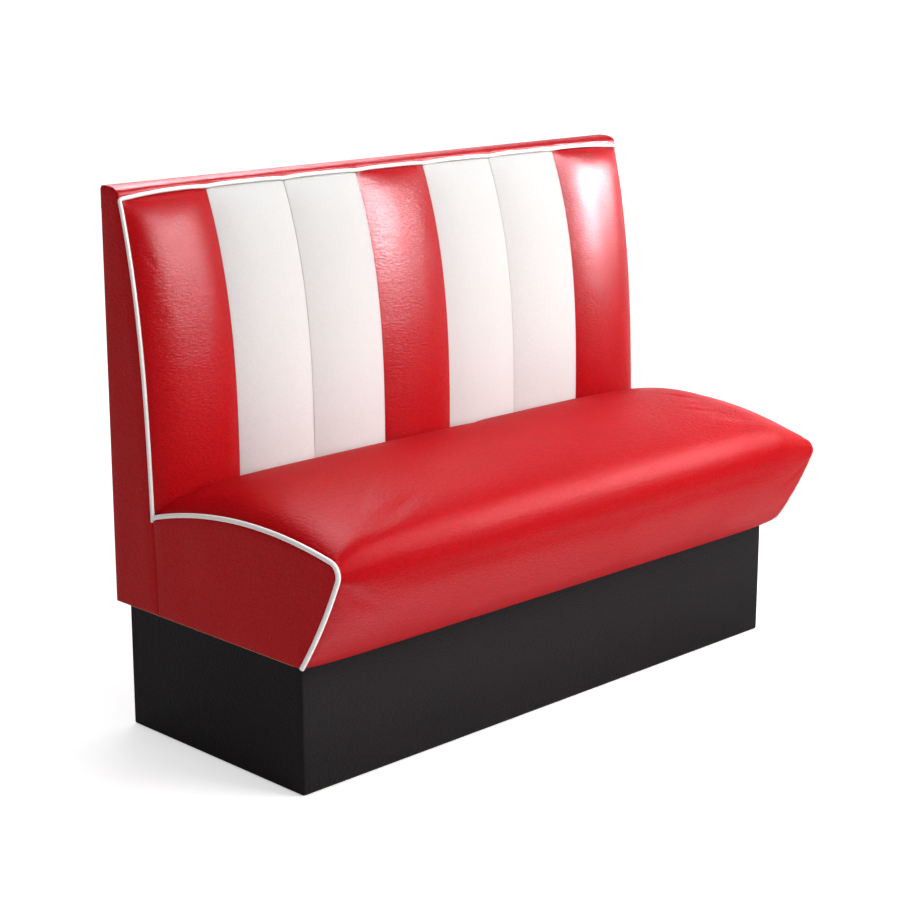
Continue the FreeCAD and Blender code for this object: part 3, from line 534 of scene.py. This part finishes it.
def stuff(cushion, held, pressure, spare, cap):
    """Fills a sewn case: cloth under pressure, held where held(place) says and cut a little larger
    than its shape, with no point moving further than the cap."""
    rest = [vert.co.copy() for vert in cushion.data.vertices]
    group = cushion.vertex_groups.new(name="sewn")
    for index, place in enumerate(rest):
        weight = held(place)
        if weight > 0:
            group.add([index], weight, "REPLACE")
    case = cushion.modifiers.new("stuffing", "CLOTH")
    for setting, value in CASE_CLOTH.items():
        setattr(case.settings, setting, value)
    case.settings.uniform_pressure_force = pressure
    case.settings.shrink_min = -spare
    case.settings.effector_weights.gravity = 0
    case.collision_settings.use_collision = False
    case.point_cache.frame_start = 1
    case.point_cache.frame_end = STUFF_FRAMES
    for step in range(1, STUFF_FRAMES + 1):
        scene.frame_set(step)
    graph = bpy.context.evaluated_depsgraph_get()
    moved = [vert.co.copy() for vert in cushion.evaluated_get(graph).data.vertices]
    cushion.modifiers.remove(case)
    cushion.vertex_groups.remove(group)
    scene.frame_set(1)
    for vert, start, end in zip(cushion.data.vertices, rest, moved):
        move = end - start
        if move.length > cap:
            move *= cap / move.length
        vert.co = start + move


FOLD_HEIGHT = 0.0011
FOLD_REACH = 0.028
FOLD_MIDDLE = 0.26
FOLD_SPAN = 0.12
FOLD_COUNT = 190
FOLD_START = 0.006
SLACK_HEIGHT = 0.0016
DENT_DEPTH = 0.0035
DENT_PLACE = (0.085, 0.145)
DENT_SPAN = (0.028, 0.035)
HEM_DEPTH = 0.005
HEM_SHARE = 0.03
UNDER_NOSE = Vector((-0.233, SEAT_BASE))
FRONT_BOARD_FOOT = Vector((-0.1655, 0.2225))


def seat_place(u, v):
    """Vertex of the seat's case: u runs along the bench, v round the closed outline. Small folds
    run in from the welts over the nose, and a dent lies beside the centre channel's foot."""
    x = CUSHION_END * (0.6 * (2 * u - 1) + 0.4 * math.sin(math.pi * (u - 0.5)))
    if v >= 0.999:
        v = 0
    if v < SEEN_ROWS:
        share = v / SEEN_ROWS
        y, z = seat_outline(x, share)
        inside = CUSHION_END - abs(x)
        near = math.exp(-inside / FOLD_REACH) * \
            math.exp(-((share - FOLD_MIDDLE) / FOLD_SPAN) ** 2)
        fold = math.sin(FOLD_COUNT * share + 2.5 * noise.noise(Vector((x * 30, share * 9, 0))))
        slack = noise.noise(Vector((x * 4.5, share * 5, 3))) * math.sin(math.pi * share)
        lift = FOLD_HEIGHT * fold * near * min(inside / FOLD_START, 1) + SLACK_HEIGHT * slack
        lift -= DENT_DEPTH * math.exp(-((x - DENT_PLACE[0]) / DENT_SPAN[0]) ** 2
                                      - ((y - DENT_PLACE[1]) / DENT_SPAN[1]) ** 2)
        hem = HEM_DEPTH * max(1 - share / HEM_SHARE, 0) ** 2
        return Vector((x, y - lift * (1 - share) + hem, z + lift * share))
    heel, *_, junction = seat_corners(x)
    under = [junction, Vector((SEAT_JUNCTION, SEAT_BASE)), UNDER_NOSE, FRONT_BOARD_FOOT, heel]
    step = (v - SEEN_ROWS) / HIDDEN_ROWS * 4
    index = min(int(step), 3)
    y, z = under[index].lerp(under[index + 1], step - index)
    return Vector((x, y, z))


SEAT_COLUMNS = 150
SEAT_ROWS = 111
SEAT_PRESSURE = 5
SEAT_CAP = 0.003
CASE_SPARE = 0.0005
STAPLED_FOOT = 0.235
STAPLED_FRONT = -0.215
SEWN_REAR = 0.012
SEWN_END = 0.004
case = loop_sheet(SEAT_COLUMNS, SEAT_ROWS, seat_place)
close_ends(case)
seat_red = leatherette("red_seat_leatherette", RED_PALE, RED_DEEP, roughness=0.36, grain=0.9,
                       shine=1.12, shade=0.6)
seat_cushion = settle("seat_cushion", case, seat_red, "red_leatherette", "seat_foam",
                      "seat_cover", fill=0.85)


def seat_held(place):
    """Where the seat's cover is sewn or stapled: its ends, foot, underside and rear."""
    below = place.z < STAPLED_FOOT or place.y > SEAT_JUNCTION - SEWN_REAR or \
        (place.z < SEAT_BASE + 0.002 and place.y > STAPLED_FRONT)
    return 1 if below or abs(place.x) > CUSHION_END - SEWN_END else 0


stuff(seat_cushion, seat_held, SEAT_PRESSURE, CASE_SPARE, SEAT_CAP)

# Seat side panels: flat red leatherette over the end boards, sewn to the seat's cover along the
# welt and to the back's side panel along a plain seam, and folded under at the foot.
SIDE_FACE = 0.5975
PANEL_SKIN = 0.0012
PANEL_FILL = 0.0010
PANEL_SLACK = 0.0007
PANEL_EASE = 0.02
SEAM_GROOVE = 0.0017
GROOVE_WIDTH = 0.0022
PLINTH_TOP = 0.222
SIDE_SEAM_RISE = 0.169
SIDE_SEAM_FOOT = 0.1745
SIDE_SEAM_LEAN = 0.0070


def side_line(z):
    """Place of the seam between the seat's and the back's side panels at a height."""
    return SIDE_SEAM_FOOT + SIDE_SEAM_LEAN * max((z - 0.224) / 0.158, 0) ** 1.6


def flat_panel(columns, rows, place, sign):
    """Side panel: grid on an outline, sunk along its seams, given the cover's thickness."""
    panel = bmesh.new()
    bmesh.ops.create_grid(panel, x_segments=columns, y_segments=rows, size=1)
    for vert in panel.verts:
        y, z, distance = place((vert.co.x + 1) / 2, (vert.co.y + 1) / 2, sign)
        slack = PANEL_SLACK * noise.noise(Vector((y * 14, z * 11, sign))) + PANEL_FILL
        x = SIDE_FACE + slack * min(distance / PANEL_EASE, 1) - \
            SEAM_GROOVE * math.exp(-distance / GROOVE_WIDTH)
        vert.co = Vector((sign * x, y, z))
    bmesh.ops.recalc_face_normals(panel, faces=panel.faces)
    if sum(face.normal.x for face in panel.faces) * sign < 0:
        bmesh.ops.reverse_faces(panel, faces=panel.faces)
    bmesh.ops.solidify(panel, geom=panel.faces[:], thickness=PANEL_SKIN)
    return panel


def eased(share):
    """Share that takes smaller steps near both ends."""
    return 0.5 * share + 0.5 * (0.5 - 0.5 * math.cos(math.pi * share))


def seat_side_place(u, v, sign):
    """Place and distance to the nearest seam of a vertex of the seat's side panel."""
    u, v = eased(u), eased(v)
    front = seat_outline(sign * CUSHION_END, BROW_SHARE * v)
    top = seat_outline(sign * CUSHION_END, BROW_SHARE + (1 - BROW_SHARE) * u)
    brow, junction = seat_corners(sign * CUSHION_END)[2:]
    level = PLINTH_TOP + v * SIDE_SEAM_RISE
    rear = Vector((side_line(level), level))
    spot = front.lerp(rear, u) + (top - brow.lerp(junction, u)) * v ** 1.5
    spot.x += 0.0056 * (1 - u)
    spot.y -= 0.0050 * smooth_step(v, 0.75, 1)
    distance = min(u * 0.40, (1 - u) * 0.40, v * 0.17, (1 - v) * 0.19)
    return spot.x, spot.y, distance


for side, sign in (("left", -1), ("right", 1)):
    settle(f"seat_{side}_panel", flat_panel(100, 60, seat_side_place, sign), red, "red_leatherette",
           f"seat_{side}_side_cover")

# Seat welts: a cord in a strip of white vinyl, sewn between the seat's cover and its side panels
# from the foot of the front, round the nose, to the back.
vinyl = leatherette("white_vinyl", (0.84, 0.81, 0.79), (0.80, 0.77, 0.75), roughness=0.38,
                    grain=0.35, shine=1.4, shade=0.9)
SEAT_WELT = 0.004
SEAT_WELT_SINKS = {"left": 0.0015, "right": 0.0032}
SEAT_WELT_STEPS = 90
SEAT_WELT_PLACE = 0.5957
SEAT_WELT_END = (0.5955, SEAT_JUNCTION + 0.0012, 0.3865)


def welt(name, points, radius, *nodes):
    """Piping along a smooth line through its points."""
    curve = bpy.data.curves.new(name + "_line", "CURVE")
    curve.dimensions = "3D"
    curve.bevel_depth = radius
    curve.bevel_resolution = 4
    curve.resolution_u = 3
    curve.use_fill_caps = True
    spline = curve.splines.new("NURBS")
    spline.points.add(len(points) - 1)
    for made, point in zip(spline.points, points):
        made.co = (*point, 1)
    spline.order_u = 4
    spline.use_endpoint_u = True
    line = bpy.data.objects.new(name + "_line", curve)
    scene.collection.objects.link(line)
    bpy.context.view_layer.update()
    graph = bpy.context.evaluated_depsgraph_get()
    data = bpy.data.meshes.new_from_object(line.evaluated_get(graph))
    tube = bmesh.new()
    tube.from_mesh(data)
    bmesh.ops.remove_doubles(tube, verts=tube.verts, dist=1e-6)
    bpy.data.objects.remove(line)
    bpy.data.curves.remove(curve)
    bpy.data.meshes.remove(data)
    return settle(name, tube, vinyl, "white_welt", *nodes)


def inward_of(x, share, depth):
    """Point a little inside the seat's outline."""
    step = 0.002
    ahead = seat_outline(x, min(share + step, 1))
    behind = seat_outline(x, max(share - step, 0))
    along = (ahead - behind).normalized()
    spot = seat_outline(x, share)
    return Vector((spot.x + along.y * depth, spot.y - along.x * depth))


for side, sign in (("left", -1), ("right", 1)):
    rows = [inward_of(sign * CUSHION_END, step / SEAT_WELT_STEPS, SEAT_WELT_SINKS[side])
            for step in range(SEAT_WELT_STEPS + 1)]
    points = [Vector((sign * SEAT_WELT_PLACE, spot.x, spot.y)) for spot in rows]
    points.append(Vector((sign * SEAT_WELT_END[0], *SEAT_WELT_END[1:])))
    welt(f"seat_{side}_piping", points, SEAT_WELT, f"seat_{side}_welt")

# Back channels: seven upright rolls of foam, red and white leatherette, sewn together with plain
# seams that are pulled down on the bent board behind them.
white = leatherette("white_leatherette", (0.635, 0.628, 0.618), (0.62, 0.613, 0.603),
                    roughness=0.6, grain=0.25, shine=1.045, shade=0.95)
CHANNEL_COUNT = 7
WHITE_CHANNELS = (2, 3, 5, 6)
CHANNEL_FOOT = 0.392
SEAM_TOP = 0.9019
SEAM_LAP = 0.0002
SEAM_FOOT = 0.1785
SEAM_LEAN = 0.0705
EDGE_FOOT = 0.1815
EDGE_LEAN = 0.058
SEAM_PLACES = (-0.415, -0.249, -0.083, 0.079, 0.249, 0.423)
PIPING_END = 0.5965
PIPING_LOW = 0.9003
PIPING_HIGH = 0.9072
PIPING_RISE_SPAN = 0.13
SEAM_DIP = 0.0024
SEAM_DIP_SPAN = 0.016
HEAD_DROP = 0.0042
ROLL_SHARE = 0.8
REAR_SHARE = 0.2
ROLL_POWER = 2.4
OUTER_ROLL_POWER = 4.5
BULGE = 0.015
OUTER_BULGE = 0.021
REAR_DEPTH = 0.010
REAR_TURN = 0.04
CROWN_START = 0.86
CROWN_ROWS = 0.14
FOOT_SINK = 0.001


def back_share(z):
    """Share of the way up the back at a height."""
    return max((z - CHANNEL_FOOT) / (SEAM_TOP - CHANNEL_FOOT), 0)


def seam_line(z):
    """Place of the seams at a height: the bent board's curve."""
    return SEAM_FOOT + SEAM_LEAN * back_share(z) ** 3


def edge_line(z):
    """Place of the back's outer edges at a height."""
    share = back_share(z)
    return EDGE_FOOT + EDGE_LEAN * (0.29 * share + 0.71 * share ** 3)


def piping_height(x):
    """Height of the top piping: it rises from each corner, and dips a little at each seam."""
    share = min((PIPING_END - min(abs(x), PIPING_END)) / PIPING_RISE_SPAN, 1)
    dip = sum(math.exp(-abs(x - seam) / SEAM_DIP_SPAN) for seam in SEAM_PLACES)
    return PIPING_LOW + (PIPING_HIGH - PIPING_LOW) * share * (2 - share) - SEAM_DIP * dip


def channel_place(x_low, x_high, bulge, ends):
    """Maker of one channel's vertices: u runs round its section, v up from the seat. An outer
    channel is fuller beside the piping."""
    outer_side = ends[1] - ends[0]

    def line(x, z):
        """Line between the channel's two seams at one place and height."""
        low = edge_line(z) if ends[0] else seam_line(z)
        high = edge_line(z) if ends[1] else seam_line(z)
        return low + (high - low) * (x - x_low) / (x_high - x_low)

    def place(u, v):
        if u >= 0.999:
            u = 0
        if u < ROLL_SHARE:
            across = -math.cos(math.pi * u / ROLL_SHARE) * 0.35 + (2 * u / ROLL_SHARE - 1) * 0.65
            squarer = outer_side * across > 0
            roll = 1 - abs(across) ** (OUTER_ROLL_POWER if squarer else ROLL_POWER)
            depth = 0
        else:
            across = 1 - 2 * (u - ROLL_SHARE) / REAR_SHARE
            roll = 0
            depth = REAR_DEPTH * min(1, (u - ROLL_SHARE) / REAR_TURN, (1 - u) / REAR_TURN)
        x = (x_low + x_high) / 2 + across * (x_high - x_low) / 2
        top = piping_height(x) - HEAD_DROP
        height = CHANNEL_FOOT + v * (top - CHANNEL_FOOT)
        crown = 1.0
        if v > CROWN_START:
            crown = max(1 - ((v - CROWN_START) / CROWN_ROWS) ** 2.6, 0) ** 0.62
        forward = bulge * roll * crown
        y = line(x, height) - forward + depth
        foot = seat_height(x, min(y, SEAT_JUNCTION)) - FOOT_SINK
        z = foot + v * (top - foot)
        y = line(x, z) - forward + depth
        return Vector((x, y, z))
    return place


CHANNEL_COLUMNS = 61
CHANNEL_ROWS = 110
CHANNEL_PRESSURE = 3
CHANNEL_CAP = 0.002
SEWN_EDGE = 0.003
SEWN_HEAD = 0.892
SEWN_FOOT = 0.425
channel_bounds = [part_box("back_channel_1")[0].x, *SEAM_PLACES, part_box("back_channel_7")[1].x]
for index in range(1, CHANNEL_COUNT + 1):
    outer = index in (1, CHANNEL_COUNT)
    pale = index in WHITE_CHANNELS
    maker = channel_place(channel_bounds[index - 1] - SEAM_LAP, channel_bounds[index] + SEAM_LAP,
                          OUTER_BULGE if outer else BULGE,
                          (index == 1, index == CHANNEL_COUNT))
    roll = loop_sheet(CHANNEL_COLUMNS, CHANNEL_ROWS, maker)
    close_ends(roll)
    channel = settle(f"channel_{index}", roll, white if pale else red,
                     "white_leatherette" if pale else "red_leatherette", f"back_channel_{index}",
                     fill=0.75)
    low = channel_bounds[index - 1] + SEWN_EDGE
    high = channel_bounds[index] - SEWN_EDGE

    def channel_held(place):
        """Where a channel is sewn: along both seams, behind, and at its head and foot."""
        sewn = not low < place.x < high or place.z > SEWN_HEAD or place.z < SEWN_FOOT
        return 1 if sewn or place.y > seam_line(place.z) - TOUCH else 0

    stuff(channel, channel_held, CHANNEL_PRESSURE, CASE_SPARE, CHANNEL_CAP)

# Back side panels: flat red leatherette over the end stiles, sewn to the piping in front and to
# the top strip above, and folded round the rear edge.
BACK_REAR = 0.2895
TOP_ROUND = 0.008
TOP_BOX = 3.0
BENCH_TOP = 0.920
SEAM_OVERLAP = 0.0012
FRONT_LAP = 0.0042
SIDE_PANEL_TOP = 0.9005
SIDE_STEP_LOW = 0.376
PIPING_CORNER = Vector((0.2395, 0.9005))


def top_height(y):
    """Height of the back's top at its ends: an arch from the piping, then a rounded rear edge."""
    ridge = BACK_REAR - TOP_ROUND
    if y < ridge:
        share = min(max((y - PIPING_CORNER.x - 0.003) / (ridge - PIPING_CORNER.x - 0.003), 0), 1)
        rise = (1 - (1 - share) ** TOP_BOX) ** (1 / TOP_BOX)
        return PIPING_CORNER.y + (BENCH_TOP - PIPING_CORNER.y) * rise
    return BENCH_TOP - TOP_ROUND + math.sqrt(max(TOP_ROUND ** 2 - (y - ridge) ** 2, 0))


def back_side_place(u, v, sign):
    """Place and distance to the nearest seam of a vertex of the back's side panel."""
    u, v = eased(u), eased(v)
    level = PLINTH_TOP + v * (SIDE_PANEL_TOP - PLINTH_TOP)
    share = smooth_step(level, SIDE_STEP_LOW, CHANNEL_FOOT)
    front = (side_line(level) - SEAM_OVERLAP) * (1 - share) + (edge_line(level) + FRONT_LAP) * share
    y = front + u * (BACK_REAR - front)
    z = PLINTH_TOP + v * (top_height(y) - 0.0006 - PLINTH_TOP)
    distance = min((y - front), (BACK_REAR - y) + 0.0012, v * 0.7, (1 - v) * 0.69 + 0.0005)
    return y, z, distance


for side, sign in (("left", -1), ("right", 1)):
    settle(f"back_{side}_panel", flat_panel(36, 170, back_side_place, sign), red, "red_leatherette",
           f"back_{side}_side_cover")

# Rear panel: plain red leatherette over the rear board, stapled under the base and sewn to the
# top strip's hem.
REAR_PANEL_TOP = 0.8817
REAR_SLACK = 0.0008
REAR_EASE = 0.03
REAR_GROOVE = 0.0022
REAR_GROOVE_WIDTH = 0.003


def sheet_of(columns, rows, place, outward):
    """Sheet of cover on a grid, given its thickness away from the side that shows."""
    made = bmesh.new()
    bmesh.ops.create_grid(made, x_segments=columns, y_segments=rows, size=1)
    for vert in made.verts:
        vert.co = place((vert.co.x + 1) / 2, (vert.co.y + 1) / 2)
    bmesh.ops.recalc_face_normals(made, faces=made.faces)
    if sum((face.normal * face.calc_area() for face in made.faces), Vector()).dot(outward) < 0:
        bmesh.ops.reverse_faces(made, faces=made.faces)
    bmesh.ops.solidify(made, geom=made.faces[:], thickness=PANEL_SKIN)
    return made


def rear_place(u, v):
    """Vertex of the rear panel, sunk along its seams and slack between them."""
    u, v = eased(u), eased(v)
    x = (2 * u - 1) * PIPING_END
    z = PLINTH_TOP + v * (REAR_PANEL_TOP - PLINTH_TOP)
    distance = min(PIPING_END - abs(x) + 0.001, z - PLINTH_TOP + 0.002,
                   REAR_PANEL_TOP - z + 0.0005)
    slack = REAR_SLACK * noise.noise(Vector((x * 5, 3, z * 5)))
    y = BACK_REAR - 0.0004 + slack * min(distance / REAR_EASE, 1) - \
        REAR_GROOVE * math.exp(-distance / REAR_GROOVE_WIDTH)
    return Vector((x, y, z))


settle("rear_panel", sheet_of(160, 90, rear_place, Vector((0, 1, 0))), red, "red_leatherette",
       "back_rear_cover")

# Top strip: red leatherette from the piping up over the top rail and down on the rear panel, with
# a hem there, and a small pucker behind each channel seam.
OUTER_SEAM = 0.415
PIPING_MIDDLE = 0.249
PIPING_SIDE = 0.2395
STRIP_END = 0.5968
TOP_LAP = 0.030
ARCH_END, ROUND_END = 0.5, 0.78
ROUND_ROWS, LAP_ROWS = 0.28, 0.22
PUCKER_DEPTH = 0.0026
PUCKER_WIDTH = 0.007
RIPPLE_HEIGHT = 0.0006
HEM_HEIGHT = 0.0006
RIDGE = Vector((BACK_REAR - TOP_ROUND, BENCH_TOP - 0.0002))


def top_arch(front, share):
    """Point of the back's top at a share of the way from the piping to the ridge, as (y, z)."""
    turn = share * math.pi / 2
    return Vector((front.x + (RIDGE.x - front.x) * (1 - math.cos(turn) ** (2 / TOP_BOX)),
                   front.y + (RIDGE.y - front.y) * math.sin(turn) ** (2 / TOP_BOX)))


def piping_place(x):
    """Place of the top piping along the bench: it comes forward to the side piping at each end."""
    share = min(max((abs(x) - OUTER_SEAM) / (PIPING_END - OUTER_SEAM), 0), 1)
    return PIPING_MIDDLE + (PIPING_SIDE - PIPING_MIDDLE) * share


def top_place(u, v):
    """Vertex of the top strip: an arch from the piping, a rounded rear edge, then the lap."""
    x = (0.8 * (2 * u - 1) + 0.2 * math.sin(math.pi * (u - 0.5))) * STRIP_END
    front = Vector((piping_place(x) + 0.0018, piping_height(x) + 0.0006))
    pucker = sum(math.exp(-((x - seam) / PUCKER_WIDTH) ** 2) for seam in SEAM_PLACES)
    ripple = noise.noise(Vector((x * 26, 7, 0)))
    if v < ARCH_END:
        share = v / ARCH_END
        spot = top_arch(front, share)
        sink = (PUCKER_DEPTH * pucker + RIPPLE_HEIGHT * ripple) * (1 - share) ** 1.3 * \
            min(share * 5, 1)
        return Vector((x, spot.x + sink * 0.7, spot.y - sink * 0.7))
    if v < ROUND_END:
        turn = (v - ARCH_END) / ROUND_ROWS * math.pi / 2
        return Vector((x, RIDGE.x + TOP_ROUND * math.sin(turn),
                       RIDGE.y - TOP_ROUND * (1 - math.cos(turn))))
    share = (v - ROUND_END) / LAP_ROWS
    hem = HEM_HEIGHT * math.exp(-((1 - share) * TOP_LAP / 0.004) ** 2)
    return Vector((x, BACK_REAR + hem + 0.0003 * ripple * share,
                   RIDGE.y - TOP_ROUND - TOP_LAP * share))


settle("top_strip", sheet_of(320, 34, top_place, Vector((0, 1, 1))), red, "red_leatherette",
       "back_top_cover")

# Back piping: the same cord and white vinyl, a little thinner, up one edge of the back from the
# seat, mitred at the corner, along the top with a dip at each seam, and down the other edge.
BACK_WELT = 0.0033
RIGHT_SINK = 0.0018
UPRIGHT_HEAD = 0.895
UPRIGHT_HEIGHTS = [0.381 + step * 0.0125 for step in range(41)]
TOP_PLACES = [-0.58 + step * 0.01 for step in range(59)]
CORNER_TURN = -0.589
upright = [Vector((-PIPING_END, edge_line(z), z)) for z in UPRIGHT_HEIGHTS]
corner = [Vector((-PIPING_END, edge_line(0.8935), 0.8935)), Vector((-PIPING_END, 0.2393, 0.8985)),
          Vector((-0.5945, 0.2394, 0.9003)),
          Vector((CORNER_TURN, piping_place(CORNER_TURN), piping_height(CORNER_TURN)))]
across = [Vector((x, piping_place(x), piping_height(x))) for x in TOP_PLACES]
left_half = upright + corner + across
right_half = []
for point in reversed(left_half[:-1]):
    sink = RIGHT_SINK if point.z < UPRIGHT_HEAD else 0
    right_half.append(Vector((-point.x - sink, point.y + sink, point.z)))
welt("back_piping", left_half + right_half, BACK_WELT, "back_welt")
